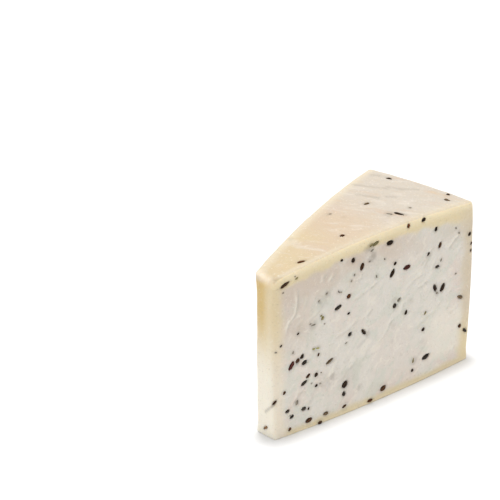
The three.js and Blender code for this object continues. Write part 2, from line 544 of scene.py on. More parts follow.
@dataclass(frozen=True)
class Layout:
    """Carries laying-out millimetres to the frame's metres and back."""
    shift: tuple

    @classmethod
    def from_node(cls, shape: WedgeShape) -> "Layout":
        """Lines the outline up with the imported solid's cut and heel.

        Args:
            shape: The wedge's shape.

        Returns:
            The layout on which both faces lie where the solid has them.
        """
        rounds, clear_of_edges, near_face = 4, 8.0, 3.0
        low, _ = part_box(PASTE_NODE)
        corner = (shape.belly_corners[Face.NOSE][0], -shape.foot_bows[Face.CUT], 0.0)
        layout = cls(tuple(np.array(low) / MM - corner))
        packed = read_points(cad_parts[PASTE_NODE].data)
        for _ in range(rounds):
            depths = shape.depths(layout.from_frame(packed))
            clear = np.sort(depths, axis=0)[1] > clear_of_edges
            cut, heel = (np.median(depths[side][clear & (np.abs(depths[side]) < near_face)])
                         for side in (Face.CUT, Face.HEEL))
            layout = cls((layout.shift[0] - heel, layout.shift[1] + cut, layout.shift[2]))
        return layout

    def to_frame(self, points: np.ndarray) -> np.ndarray:
        """Millimetres to metres."""
        return (points + np.asarray(self.shift)) * MM

    def from_frame(self, points: np.ndarray) -> np.ndarray:
        """Metres to millimetres."""
        return np.asarray(points) / MM - np.asarray(self.shift)


# ---- Seeds: where they lie ----

@dataclass(frozen=True)
class Seat:
    """Where one seed or seed bit lies, in laying-out millimetres."""
    centre: np.ndarray
    along: np.ndarray
    outward: np.ndarray
    half_length: float
    half_girth: float


def seat_of_node(name: str, shape: WedgeShape, layout: Layout) -> Seat:
    """Reads a seed's place, direction and size from its own solid.

    Args:
        name: The seed's node.
        shape: The wedge's shape, which says which way is out.
        layout: Carries the node's metres to millimetres.

    Returns:
        The seed's seat.
    """
    points = layout.from_frame(read_points(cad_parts[name].data))
    spread = points - points.mean(0)
    _, axes = np.linalg.eigh(spread.T @ spread)
    along = axes[:, 2]
    outward = shape.outward(points.mean(0))
    outward = outward - along * (outward @ along)
    outward /= np.linalg.norm(outward)
    side = np.cross(outward, along)
    return Seat((points.min(0) + points.max(0)) / 2, along, outward,
                float(np.ptp(spread @ along)) / 2, float(np.ptp(spread @ side)) / 2)


# ---- Finishes ----

class SeedTone(Enum):
    """Colours that seed coats take."""
    BLACK = tint(54, 41, 30)
    SLATE = tint(72, 65, 57)
    BROWN = tint(86, 58, 38)
    RED = tint(96, 52, 46)
    RUST = tint(110, 66, 38)
    HUSK = tint(124, 104, 80)
    AMBER = tint(170, 130, 92)
    OLIVE = tint(150, 139, 98)
    LIME = tint(186, 182, 108)
    GREY = tint(158, 150, 135)


@dataclass(frozen=True)
class PasteFinish:
    """Moist cheese: greenish-white and mottled on the cut, warm ivory and waxy on the rind."""
    cut_white: tuple = tint(214, 208, 198)
    # A cream for patches and flecks that is also the painted highlight on torn crests, and a grey for flecks
    # that is also the painted shade in hollows, cracks and pits.
    highlight_and_patch_cream: tuple = tint(228, 221, 207)
    shade_and_fleck_grey: tuple = tint(188, 182, 170)
    # Painted highlight along the cut's top rim, and painted light along its foot that cancels the shade
    # there.
    rim_light_cream: tuple = tint(231, 216, 182)
    band_yellow: tuple = tint(217, 201, 164)
    band_pale: tuple = tint(205, 191, 168)
    rind_ivory: tuple = tint(192, 172, 152)
    rind_yellow: tuple = tint(198, 181, 140)
    # Painted highlight on the lip along the top's edge over the cut, widened into a paler band a little
    # further in on the top.
    ridge_highlight_cream: tuple = tint(201, 188, 165)
    nose_gold: tuple = tint(208, 180, 121)
    nose_cream: tuple = tint(222, 205, 170)
    nose_white: tuple = tint(236, 229, 213)
    edge_yellow: tuple = tint(216, 199, 163)
    edge_cream: tuple = tint(224, 213, 194)
    # Painted highlight on the rounded edge where the nose meets the top.
    brow_highlight_cream: tuple = tint(222, 207, 186)
    border_cream: tuple = tint(209, 196, 172)
    # Grey for marks under the surface, and for painted shade round the seeds.
    stain_and_shade_grey: tuple = tint(104, 94, 80)

    # Washes, and where a plain pair or three numbers stand, the low, the high and the most of a pattern.
    blush: Wash = Wash(tint(214, 201, 190), 0.46, 0.62)
    blush_loss: float = 0.6
    grey_patches: Wash = Wash(tint(206, 204, 192), 0.5, 0.62, 0.85)
    dull_patches: Wash = Wash(tint(203, 189, 174), 0.3, 0.52)
    cream_patches: Wash = Wash(highlight_and_patch_cream, 0.44, 0.34, 0.45)
    cream_flecks: Wash = Wash(highlight_and_patch_cream, 0.58, 0.72, 0.3)
    grey_flecks: Wash = Wash(shade_and_fleck_grey, 0.38, 0.26, 0.3)
    # Painted highlight on the torn face's crests and painted shade in its hollows and cracks.
    torn_crest_highlights: Wash = Wash(highlight_and_patch_cream, 0.5, 1.0, 0.9)
    torn_hollow_shade: Wash = Wash(shade_and_fleck_grey, 0.5, 0.0, 0.9)
    # Painted shade of small pits, which the mesh doesn't have, in scattered fields.
    pit_shade: Wash = Wash(shade_and_fleck_grey, 0.13, 0.05, 0.55)
    pit_shade_fields: tuple = (0.5, 0.6)
    ivory_clouds: tuple = (0.45, 0.62, 0.4)
    pale_streaks: Wash = Wash(tint(190, 180, 166), 0.25, 0.5)
    cream_streaks: Wash = Wash(tint(207, 197, 184), 0.52, 0.68, 0.5)
    grey_specks: Wash = Wash(tint(168, 156, 138), 0.42, 0.28, 0.32)
    white_specks: Wash = Wash(tint(240, 234, 222), 0.58, 0.74, 0.42)

    # Sizes of the patterns, in metres, and how they lie.
    broad_size: float = 0.030
    patch_size: float = 0.0085
    fleck_size: float = 0.0026
    pit_spacing: float = 0.006
    pit_field_size: float = 0.011
    tear_turn: tuple = (0, math.radians(-42), 0)
    tear_stretch: tuple = (1.5, 1.0, 0.9)
    cloud_size: float = 0.034
    streak_size: float = 0.006
    streak_turn: tuple = (0, 0, math.radians(-52))
    streak_stretch: tuple = (3.2, 1.0, 1.6)
    band_wander_size: float = 0.006
    band_wander: float = 0.35
    band_start: float = 0.4
    grain_size: float = 0.0012
    grain_relief_size: float = 0.0045
    grain_relief: float = 1.5
    grain_depth: float = 0.00018
    smoothest: float = 0.46
    grain_roughness: float = 0.22

    def build(self) -> bpy.types.Material:
        """Builds the material.

        Returns:
            The material, which reads the values that ColourMap stores.
        """
        paint = Painter("cheese_paste")
        colour = paint.blend(self._rind(paint), self._banded_cut(paint), paint.attribute("on_cut"))
        # Painted highlight along the top's edge over the cut.
        colour = paint.blend(colour, self.ridge_highlight_cream, paint.attribute("ridge_lip_and_highlight"))
        # Painted highlight on the rounded edge between nose and top.
        colour = paint.blend(colour, self.brow_highlight_cream, paint.attribute("brow_highlight"))
        # Grey marks, with painted shade round the seeds.
        colour = paint.blend(colour, self.stain_and_shade_grey, paint.attribute("stain_and_seat_shade"))
        grain = paint.noise(self.grain_size, detail=3, roughness=0.65)
        colour = paint.wash(colour, self.grey_specks, grain)
        colour = paint.wash(colour, self.white_specks, grain)
        lumps = paint.noise(self.grain_relief_size, detail=3, roughness=0.6)
        return paint.finish({
            "Base Color": colour, "Roughness": self.smoothest + grain * self.grain_roughness,
            "Normal": paint.bump(grain + lumps * self.grain_relief, self.grain_depth),
            "Subsurface Weight": 0.2, "Subsurface Radius": (1.0, 0.75, 0.5), "Subsurface Scale": 0.0022,
            "IOR": 1.42, "Specular IOR Level": 0.3,
        })

    def _banded_cut(self, paint: Painter) -> bpy.types.NodeSocket:
        """Lays the yellow band of rind over the torn face's rim.

        Args:
            paint: The material's painter.

        Returns:
            The whole cut's colour.
        """
        band = paint.blend(self.band_yellow, self.band_pale, paint.attribute("band_pale"))
        # Painted highlight at the top rim and painted light at the foot.
        band = paint.blend(band, self.rim_light_cream, paint.attribute("rim"))
        wander = (paint.noise(self.band_wander_size, detail=3) - 0.5) * self.band_wander
        strength = paint.attribute("band")
        share = (strength + wander * strength.between(0.0, self.band_start)).between(0.0, 1.0)
        cut = paint.blend(self._torn(paint), band, share)
        edge = paint.blend(self.edge_cream, self.edge_yellow, paint.attribute("high"))
        return paint.blend(cut, edge, paint.attribute("nose_band"))

    def _torn(self, paint: Painter) -> bpy.types.NodeSocket:
        """Mixes the torn face's colour without the band of rind, with painted highlights on its crests and
        painted shade in its hollows, cracks and pits.

        Args:
            paint: The material's painter.

        Returns:
            The colour of the bare paste.
        """
        lie = paint.stretched(self.tear_turn, self.tear_stretch)
        broad = paint.noise(self.broad_size, distortion=0.6)
        patches = paint.noise(self.patch_size, detail=3, roughness=0.55, distortion=1.1, where=lie)
        flecks = paint.noise(self.fleck_size, detail=4, roughness=0.62, distortion=0.4, where=lie)
        pit_shade = paint.cells(self.pit_spacing)
        pit_shade_fields = paint.noise(self.pit_field_size, detail=1).between(*self.pit_shade_fields)
        torn_light_and_shade = paint.attribute("torn_light_and_shade")
        colour = paint.wash(self.cut_white, self.blush, broad, 1 - paint.attribute("heart") * self.blush_loss)
        colour = paint.wash(colour, self.grey_patches, patches)
        colour = paint.wash(colour, self.dull_patches, broad, paint.attribute("dull"))
        colour = paint.wash(colour, self.cream_patches, patches)
        colour = paint.wash(colour, self.cream_flecks, flecks)
        colour = paint.wash(colour, self.grey_flecks, flecks)
        # Painted highlight on the crests of the tears.
        colour = paint.wash(colour, self.torn_crest_highlights, torn_light_and_shade)
        # Painted shade of small pits.
        colour = paint.wash(colour, self.pit_shade, pit_shade, pit_shade_fields)
        colour = paint.blend(colour, self.highlight_and_patch_cream, paint.attribute("bright"))
        # Painted shade in the hollows and cracks of the tears.
        return paint.wash(colour, self.torn_hollow_shade, torn_light_and_shade)

    def _rind(self, paint: Painter) -> bpy.types.NodeSocket:
        """Mixes the rind's colour: ivory and yellow clouds, pale streaks, and a golden nose.

        Args:
            paint: The material's painter.

        Returns:
            The rind's colour.
        """
        lie = paint.stretched(self.streak_turn, self.streak_stretch)
        clouds = paint.noise(self.cloud_size, distortion=0.5)
        streaks = paint.noise(self.streak_size, detail=4, roughness=0.6, distortion=0.9, where=lie)
        ivory = clouds.between(*self.ivory_clouds) + paint.attribute("mid")
        colour = paint.blend(self.rind_yellow, self.rind_ivory, ivory)
        colour = paint.wash(colour, self.pale_streaks, streaks, paint.attribute("far").between(0.0, 1.0))
        colour = paint.wash(colour, self.cream_streaks, streaks)
        colour = paint.blend(colour, self.border_cream, paint.attribute("border"))
        nose = paint.blend(self.nose_white, self.nose_cream, paint.attribute("high"))
        colour = paint.blend(colour, nose, paint.attribute("on_nose"))
        # The gold keeps clear of the cut's edge, where the paler colour is partly a painted highlight.
        return paint.blend(colour, self.nose_gold, paint.attribute("gold"))


@dataclass(frozen=True)
class SeedFinish:
    """A dull seed coat, darker in the furrows; a range is the low, the high and the most of a pattern."""
    furrow: tuple = (0.008, 0.005, 0.003)
    furrow_range: tuple = (0.7, 0.0, 0.55)
    mottle_size: float = 0.0008
    mottle_range: tuple = (0.55, 0.3, 0.35)
    relief_size: float = 0.0004
    relief_depth: float = 0.00006
    smoothest: float = 0.55
    mottle_roughness: float = 0.25

    def build(self) -> bpy.types.Material:
        """Builds the material.

        Returns:
            The material, which reads each seed's own coat and ribs.
        """
        paint = Painter("caraway_seed")
        coat = paint.node("ShaderNodeAttribute", {"attribute_name": "coat"}, {}).outputs["Color"]
        mottle = paint.noise(self.mottle_size, detail=3, roughness=0.6)
        shade = paint.attribute("rib").between(*self.furrow_range) + mottle.between(*self.mottle_range)
        relief = paint.noise(self.relief_size, roughness=0.6)
        return paint.finish({
            "Base Color": paint.blend(coat, self.furrow, shade),
            "Roughness": self.smoothest + mottle * self.mottle_roughness,
            "Normal": paint.bump(relief, self.relief_depth),
            "Specular IOR Level": 0.1,
        })


# ---- The cheese ----

@dataclass(frozen=True)
class Ledge:
    """A step where the cheese tore, in millimetres: its crest is a line and drops to the line's right."""
    line: tuple
    height: float
    rear: float = 5.0
    front: float = 1.8
    sunk_share: float = 0.45
    drop: Fade = Fade(-0.8, 0.9)
    # Where the painted highlight on the crest and the painted shade in the hollow lie, and how strong they
    # are.
    crest_place: float = -1.0
    crest_width: float = 1.0
    hollow_place: float = 0.8
    hollow_width: float = 1.1
    plain_height: float = 0.4
    plain_strength: float = 0.6
    most_strength: float = 1.5
    end_fade: float = 1.5

    def measure(self, across: np.ndarray, up: np.ndarray) -> tuple[np.ndarray, np.ndarray]:
        """Measures places on the face against the crest.

        Args:
            across: Distance of each place along the cut.
            up: Its height.

        Returns:
            Signed distance from the crest, positive beyond the drop, and a share that fades at both ends.
        """
        places = np.column_stack((across, up))
        nearest = np.full(len(places), np.inf)
        signed = np.zeros(len(places))
        fade = np.zeros(len(places))
        steps = len(self.line) - 1
        for number, (start, end) in enumerate(zip(self.line, self.line[1:])):
            run = np.subtract(end, start)
            share = np.clip((places - start) @ run / (run @ run), 0, 1)
            distance = segment_distance(places, start, end)
            closer = distance < nearest
            turned = run[1] * (places - start)[:, 0] - run[0] * (places - start)[:, 1]
            signed[closer] = (np.sign(turned) * distance)[closer]
            whole = (number + share) / steps
            fade[closer] = np.clip(self.end_fade * arch(whole), 0, 1)[closer]
            nearest[closer] = distance[closer]
        return signed, fade

    def relief(self, across: np.ndarray, up: np.ndarray) -> tuple[np.ndarray, np.ndarray]:
        """Works out the step that the tear left.

        Args:
            across: Distance of each place along the cut.
            up: Its height.

        Returns:
            Its height in millimetres, and the strength of its painted light: above 0 for a painted highlight
            on the crest, below 0 for painted shade in the hollow under the drop.
        """
        signed, fade = self.measure(across, up)
        raised = np.exp(-np.abs(signed) / self.rear)
        sunk = -self.sunk_share * np.exp(-np.abs(signed) / self.front)
        dropped = self.drop(signed)
        strength = fade * min(self.height / self.plain_height, self.most_strength) * self.plain_strength
        crest_light = bell(signed, self.crest_place, self.crest_width)
        hollow = bell(signed, self.hollow_place, self.hollow_width)
        return self.height * fade * (raised * (1 - dropped) + sunk * dropped), strength * (crest_light - hollow)


@dataclass(frozen=True)
class LedgeScatter:
    """Short ledges thrown over the cut; each pair is a lowest and a highest value."""
    count: int = 85
    seed: int = 11
    along: tuple = (6, 128)
    up: tuple = (3, 90)
    lean: float = 44
    lean_spread: float = 17
    length: tuple = (3.0, 11)
    waver: float = 0.06
    stops: tuple = (0, 0.35, 0.7, 1)
    height: tuple = (0.10, 0.34)
    rear: tuple = (2.0, 5)

    def throw(self) -> list:
        """Throws the ledges.

        Returns:
            The ledges, the same ones each time.
        """
        rng = random.Random(self.seed)
        thrown = []
        for _ in range(self.count):
            middle = np.array((rng.uniform(*self.along), rng.uniform(*self.up)))
            lean = math.radians(rng.gauss(self.lean, self.lean_spread))
            length = rng.uniform(*self.length)
            along = np.array((math.cos(lean), math.sin(lean)))
            side = np.array((-along[1], along[0]))
            line = [middle + along * length * (share - 0.5) + side * rng.gauss(0, self.waver) * length
                    for share in self.stops]
            thrown.append(Ledge(tuple(map(tuple, line)), rng.uniform(*self.height), rng.uniform(*self.rear)))
        return thrown


@dataclass(frozen=True)
class ColourMap:
    """Where each colour shows, by the depth below a face or by the place along, inwards and up."""
    wander: Lumps = Lumps(0.22, (9, 9, 9), 17.3, 2)
    band_widens: Fade = Fade(95, 125, 0.45)
    top_band: Fade = Fade(9.5, 4.5)
    heel_band: Fade = Fade(12.5, 2.5, 0.95)
    base_band: Fade = Fade(6.0, 1.2, 0.9)
    heel_paleness: Fade = Fade(8, 35)
    base_paleness: float = 0.1
    least_band: float = 1e-6
    # Painted highlight along the cut's top rim, and painted light at its foot where the floor shades it.
    top_rim_highlight: Fade = Fade(6.0, 1.0)
    foot_painted_light: Fade = Fade(2.2, 0.3, 0.8)
    nose_band: Fade = Fade(10.0, 3.0)
    nose_band_loss: float = 0.5
    heart: Fade = Fade(5.0, 22.0)
    heart_near_base: float = 1.5
    dull_below_top: Fade = Fade(27.0, 12.0)
    dull_loss: Fade = Fade(70, 90, 0.4)
    dull_by_nose: Fade = Fade(34, 16, 0.6)
    dull_rise: Fade = Fade(38, 58)
    bright_along: Fade = Fade(92, 108)
    bright_ceiling: Fade = Fade(42, 28)
    bright_above_base: Fade = Fade(6, 12, 0.6)
    nose_side: Fade = Fade(-3.2, 0.2)
    border_at_back: Fade = Fade(7.5, 1.0, 0.9)
    border_at_heel: Fade = Fade(2.6, 0.4, 0.6)
    border_on_top: Fade = Fade(3.0, 0.5)
    # Painted highlight on the rounded edge between nose and top.
    brow_at_nose: Fade = Fade(5.5, 1.8)
    brow_at_top: Fade = Fade(4.5, 1.5, 0.85)
    high: Fade = Fade(30, 72)
    gold_rise: Fade = Fade(45, 76)
    gold_ceiling: Fade = Fade(97, 88)
    # Near the cut's edge the gold gives way to the pale nose colours, partly the rind's own and partly a
    # painted highlight on the rounded edge.
    gold_inwards: Fade = Fade(3.0, 8.0, 0.95)
    mid: Fade = Fade(18, 55, 0.8)
    far: Fade = Fade(45, 100)
    far_on_top: Fade = Fade(3.0, 0.5)

    def values(self, points: np.ndarray, depths: np.ndarray) -> dict:
        """Works out every value that the paste's colours follow.

        Args:
            points: Rows of positions.
            depths: A row of depths for every face.

        Returns:
            The name that the material reads to one value for each point.
        """
        _, heel, back, nose, top, base = depths
        along, inwards, rise = points.T
        wander = 1 + self.wander(points)
        widened = 1 + self.band_widens(along)
        by_top = self.top_band(top * wander / widened)
        by_heel = self.heel_band(heel * wander)
        by_base = self.base_band(base * wander)
        pale = by_heel * self.heel_paleness(base) + by_base * self.base_paleness
        below_top = self.dull_below_top(top * wander) * (1 - self.dull_loss(along))
        border = np.maximum(self.border_at_back(back), self.border_at_heel(heel))
        on_nose = self.nose_side(np.minimum(back, top) - nose)
        inmost = np.minimum.reduce([top, heel, base * self.heart_near_base, nose])
        return {
            "band": np.maximum.reduce([by_top, by_heel, by_base]),
            "band_pale": pale / (by_top + by_heel + by_base + self.least_band),
            "rim": np.maximum(self.top_rim_highlight(top), self.foot_painted_light(base)),
            "nose_band": self.nose_band(nose * wander) * (1 - self.nose_band_loss * by_top),
            "heart": self.heart(inmost),
            "dull": np.maximum(below_top, self.dull_by_nose(along) * self.dull_rise(rise)),
            "bright": self.bright_along(along) * self.bright_ceiling(rise) * self.bright_above_base(base),
            "on_nose": on_nose,
            "border": border * self.border_on_top(top),
            "brow_highlight": self.brow_at_nose(nose) * self.brow_at_top(top),
            "high": self.high(rise),
            "gold": on_nose * self.gold_rise(rise) * self.gold_ceiling(rise) * self.gold_inwards(inwards),
            "mid": self.mid(along),
            "far": self.far(along) * self.far_on_top(top),
        }


@dataclass(frozen=True)
class Marks:
    """Grey marks on the cut, the top and the nose: seeds just under the surface, and on the cut a few broad,
    faint darker patches.
    """
    # On the cut: along, up, radius and strength.
    stains: tuple = (
        (34.7, 71.8, 2.6, 0.26), (29.8, 68.6, 1.8, 0.24), (64.0, 82.8, 3.4, 0.42), (36.8, 23.6, 2.9, 0.3),
        (53.8, 11.4, 2.2, 0.2), (49.1, 24.4, 1.6, 0.15), (26.4, 43.3, 1.6, 0.2), (14.1, 16.9, 1.6, 0.25),
        (61.0, 89.0, 3.0, 0.3), (78.6, 52.5, 2.6, 0.2), (60.5, 39.5, 2.2, 0.25), (96.0, 22.0, 2.2, 0.12),
        (31.4, 22.5, 6.0, 0.14), (31.0, 69.0, 5.0, 0.14), (16.2, 58.0, 4.5, 0.1), (47.0, 20.0, 10.0, 0.09),
        (61.0, 78.0, 9.0, 0.07), (89.3, 47.0, 2.8, 0.14), (77.6, 38.0, 2.1, 0.14), (76.7, 29.2, 1.7, 0.13),
        (107.5, 48.0, 4.2, 0.1),
    )
    # On the cut: along and up at both ends, width and strength.
    streaks: tuple = (
        (12.5, 17.5, 19.0, 23.5, 0.7, 0.18), (99.5, 21.0, 90.0, 12.0, 1.0, 0.1),
        (22.0, 14.0, 27.0, 22.0, 1.3, 0.12), (53.6, 34.2, 60.1, 37.7, 1.2, 0.13),
        (100.5, 70.5, 96.3, 66.5, 0.9, 0.22),
    )
    # On the nose: its two ends.
    nose_streak: tuple = ((0.5, -0.3, 21.0), (-1.5, 5.3, 14.6))
    # On the top: along and inwards at both ends.
    smears: tuple = (
        (92.4, 50.4, 95.4, 45.4), (95.4, 45.4, 102.5, 35.9), (106.2, 33.2, 115.1, 26.3),
        (96.4, 28.6, 99.6, 25.4), (107.9, 54.8, 110.2, 51.2), (104.0, 38.0, 108.0, 31.0),
        (86.0, 40.0, 92.0, 30.0),
    )
    # On the top: along, inwards and radius.
    buried: tuple = ((60.4, 32.3, 2.0), (64.7, 24.9, 1.8), (30.6, 25.4, 2.2), (98.0, 12.5, 1.4))
    cut_ragged: Lumps = Lumps(0.6, (1.8, 1.8, 1.8), 81.3, 2)
    top_ragged: Lumps = Lumps(0.5, (2.4, 2.4, 2.4), 91.7, 2)
    stain_edge: Fade = Fade(1.2, 0.2)
    streak_edge: Fade = Fade(1.3, 0.1)
    smear_edge: Fade = Fade(1.7, 0.1, 0.24)
    buried_edge: Fade = Fade(1.2, 0.1, 0.16)
    nose_streak_edge: Fade = Fade(1.3, 0.1, 0.4)

    def on_cut(self, points: np.ndarray) -> np.ndarray:
        """Finds the stains and streaks on the cut.

        Args:
            points: Rows of positions.

        Returns:
            How strongly they show at each point.
        """
        shown = np.zeros(len(points))
        ragged = 1 + self.cut_ragged(points)
        places = points[:, (0, 2)]
        for x, z, radius, strength in self.stains:
            away = np.hypot(places[:, 0] - x, places[:, 1] - z) / (radius * ragged)
            shown = np.maximum(shown, strength * self.stain_edge(away))
        for x0, z0, x1, z1, width, strength in self.streaks:
            away = segment_distance(places, (x0, z0), (x1, z1)) / (width * ragged)
            shown = np.maximum(shown, strength * self.streak_edge(away))
        return shown

    def on_top(self, points: np.ndarray) -> np.ndarray:
        """Finds the smears and buried seeds in the top's rind.

        Args:
            points: Rows of positions.

        Returns:
            How strongly they show at each point.
        """
        shown = np.zeros(len(points))
        ragged = 1 + self.top_ragged(points)
        places = points[:, (0, 1)]
        for x0, y0, x1, y1 in self.smears:
            away = segment_distance(places, (x0, y0), (x1, y1)) / ragged
            shown = np.maximum(shown, self.smear_edge(away))
        for x, y, radius in self.buried:
            away = np.hypot(places[:, 0] - x, places[:, 1] - y) / (radius * ragged)
            shown = np.maximum(shown, self.buried_edge(away))
        return shown

    def on_nose(self, points: np.ndarray) -> np.ndarray:
        """Returns how strongly the streak across the nose shows."""
        return self.nose_streak_edge(segment_distance(points, *self.nose_streak))


@dataclass(frozen=True)
class SeatPress:
    """What a seed does to the paste round it: heights and reaches in millimetres, places in its own radii."""
    gap: float = 0.18
    reach: float = 5.0
    calm: Fade = Fade(1.1, 2.4)
    dip_depth: float = 0.16
    dip_place: float = 1.05
    dip_width: float = 0.3
    lip_height: float = 0.07
    lip_place: float = 1.7
    lip_width: float = 0.4
    # Painted shade on the paste round each seed and bit.
    seat_shade_strengths: tuple = (0.3, 0.16, 0.08, 0.22)
    seat_shade_reach: float = 0.8
    bit_calm: Fade = Fade(1.0, 2.2)
    bit_shade: Fade = Fade(2.2, 0.8, 0.2)

    def press(self, points: np.ndarray, seats: list, bit_seats: list) -> tuple:
        """Works out what the seeds do to the surface.

        Args:
            points: Rows of positions.
            seats: The whole seeds' seats.
            bit_seats: The fragments' seats.

        Returns:
            A factor that calms the relief, a movement outwards in millimetres, and painted shade round the
            seeds and bits.
        """
        calm = np.ones(len(points))
        move = np.zeros(len(points))
        seat_shade = np.zeros(len(points))
        for number, seat in enumerate(seats):
            offset = points - seat.centre
            near = np.flatnonzero(np.linalg.norm(offset, axis=1) < seat.half_length + self.reach)
            offset = offset[near]
            away = np.linalg.norm(offset, axis=1)
            level = offset @ seat.outward
            run = (offset @ seat.along) / (seat.half_length + self.gap)
            wide = (offset @ np.cross(seat.outward, seat.along)) / (seat.half_girth + self.gap)
            ring = np.hypot(run, wide)
            calm[near] = np.minimum(calm[near], self.calm(ring))
            round_half = np.sqrt(np.clip(1 - ring * ring, 0, 1)) * (seat.half_girth + self.gap)
            hollow = np.where(round_half > level, -(level + round_half), 0) * (ring < 1)
            dip = self.dip_depth * bell(ring, self.dip_place, self.dip_width)
            lip = self.lip_height * bell(ring, self.lip_place, self.lip_width)
            move[near] = np.where(ring < 1, np.minimum(move[near], hollow), move[near] + (lip - dip))
            outside = away * (1 - 1 / np.maximum(ring, 1))
            strength = self.seat_shade_strengths[number % len(self.seat_shade_strengths)]
            seat_shade[near] = np.maximum(seat_shade[near], strength * np.exp(-outside / self.seat_shade_reach))
        for seat in bit_seats:
            away = np.linalg.norm(points - seat.centre, axis=1) / seat.half_length
            calm = np.minimum(calm, self.bit_calm(away))
            seat_shade = np.maximum(seat_shade, self.bit_shade(away))
        return calm, move, seat_shade


@dataclass(frozen=True)
class CheesePaste:
    """The cheese and its rind, one continuous piece with one torn cut face."""
    shape: WedgeShape
    layout: Layout
    seats: list
    bit_seats: list
    block_cuts: tuple = (100, 48, 76)
    uncut_length: float = 0.5
    edge_reach: float = 2.8
    cut_reach: float = 0.3
    seat_reach: float = 1.6
    most_corners: int = 6
    cut_border: Fade = Fade(-0.8, 0.6)
    cut_nose_border: Fade = Fade(-2.2, 2.2)
    relief_inland: Fade = Fade(0.5, 3.5)
    foot_calm: Fade = Fade(0.0, 1.5)
    ridge_reach: Fade = Fade(4.2, 1.6)
    ridge_top: Fade = Fade(1.6, 0.5)
    ridge_height: float = 0.12
    # How strongly the lip gets painted highlight.
    ridge_highlight_share: float = 0.8
    # A paler band further in on the top, laid with the lip's painted highlight.
    inland_reach: Fade = Fade(9.0, 1.5)
    inland_along: Fade = Fade(20, 70, 0.45)
    marks_top: Fade = Fade(1.5, 0.5)
    dents: tuple = (Lumps(0.22, (14, 14, 14), 3.7, 2), Lumps(0.06, (3.1, 3.1, 3.1), 9.1))
    waver_across: Lumps = Lumps(0.45, (3.2, 1, 3.2), 14.4, 2)
    waver_up: Lumps = Lumps(0.45, (3.2, 1, 3.2), 27.5, 2)
    swells: tuple = (
        Lumps(0.50, (29, 1, 22), 52.9), Lumps(0.24, (9.5, 1, 7.5), 33.1, 2),
        Lumps(0.035, (2.6, 1, 2.1), 41.3, 2),
    )
    crack_lines: Lumps = Lumps(1.0, (6, 1, 6), 63.7, 2)
    crack_width: Fade = Fade(0.045, 0.0)
    crack_fields: Lumps = Lumps(1.0, (13, 1, 11), 71.9)
    crack_field_edge: Fade = Fade(0.12, 0.4)
    crack_depth: float = 0.1
    # How strongly crests get painted highlight and cracks get painted shade.
    crest_highlight: float = 0.42
    crack_shade: float = 0.18
    ledges: tuple = (
        Ledge(((6.6, 57), (9.8, 64.5), (13.5, 68), (15.1, 76), (14.4, 84)), 0.75, 9.0, 3.0),
        Ledge(((20, 60), (27, 63), (33, 69)), 0.35), Ledge(((37, 45), (47, 47), (56, 51)), 0.35),
        Ledge(((96, 64), (101, 70), (104, 76)), 0.5),
        Ledge(((113, 69.5), (117.5, 72.8), (122.5, 76.2)), 0.6, 4.0, 1.3),
        Ledge(((92.5, 54.3), (97, 55), (101.5, 57)), 0.45, 3.0, 1.3),
        Ledge(((64, 30), (72, 36), (78, 45)), 0.35), Ledge(((84, 55), (92, 60), (99, 62)), 0.4),
        Ledge(((30, 20), (38, 27), (41, 34)), 0.3), Ledge(((90, 30), (99, 35), (108, 37)), 0.35),
        Ledge(((50, 62), (58, 64), (68, 68)), 0.4),
    )

    def build(self) -> bpy.types.Object:
        """Models the piece.

        Returns:
            The piece.
        """
        mesh = self._block()
        self._sculpt(mesh)
        mesh.materials.append(PasteFinish().build())
        mesh.shade_smooth()
        piece = bpy.data.objects.new("cheese_body", mesh)
        bpy.context.scene.collection.objects.link(piece)
        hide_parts(PASTE_NODE)
        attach(piece, BODY)
        return piece

    def _block(self) -> bpy.types.Mesh:
        """Shapes a cut-up cube into the wedge, with finer faces on the cut, by the edges and by the seeds.

        Returns:
            The smooth wedge's mesh, in metres.
        """
        bm = bmesh.new()
        bmesh.ops.create_cube(bm, size=1.0, matrix=Matrix.Translation((0.5, 0.5, 0.5)))
        for axis, cuts in enumerate(self.block_cuts):
            edges = [e for e in bm.edges
                     if abs((e.verts[0].co - e.verts[1].co)[axis]) > self.uncut_length]
            bmesh.ops.subdivide_edges(bm, edges=edges, cuts=cuts, use_grid_fill=True)
        self._move(bm, self.shape.fill(self._places(bm)))
        self._refine(bm, np.sort(self.shape.depths(self._places(bm)), axis=0)[1] < self.edge_reach)
        self._refine(bm, self.shape.depth(Face.CUT, self._places(bm)) < self.cut_reach)
        self._refine(bm, self._near_seats(self._places(bm)))
        self._poke_crowded(bm)
        self._move(bm, self.layout.to_frame(self.shape.settle(self._places(bm))))
        bmesh.ops.recalc_face_normals(bm, faces=bm.faces)
        mesh = bpy.data.meshes.new("cheese_body")
        bm.to_mesh(mesh)
        bm.free()
        return mesh

    @staticmethod
    def _places(bm: bmesh.types.BMesh) -> np.ndarray:
        """Returns the vertices' places as rows."""
        return np.array([v.co for v in bm.verts])

    @staticmethod
    def _move(bm: bmesh.types.BMesh, places: np.ndarray) -> None:
        """Moves the vertices to the given rows."""
        for vert, place in zip(bm.verts, places):
            vert.co = place

    def _near_seats(self, places: np.ndarray) -> np.ndarray:
        """Finds the places near a seed.

        Args:
            places: Rows of positions.

        Returns:
            True for each place that is near one.
        """
        near = np.zeros(len(places), dtype=bool)
        for seat in self.seats:
            near |= np.linalg.norm(places - seat.centre, axis=1) < seat.half_length + self.seat_reach
        return near

    @staticmethod
    def _refine(bm: bmesh.types.BMesh, wanted: np.ndarray) -> None:
        """Halves every edge between two wanted vertices.

        Args:
            bm: The mesh.
            wanted: True for each wanted vertex.
        """
        bm.verts.index_update()
        edges = [e for e in bm.edges if wanted[e.verts[0].index] and wanted[e.verts[1].index]]
        bmesh.ops.subdivide_edges(bm, edges=edges, cuts=1, use_grid_fill=True)

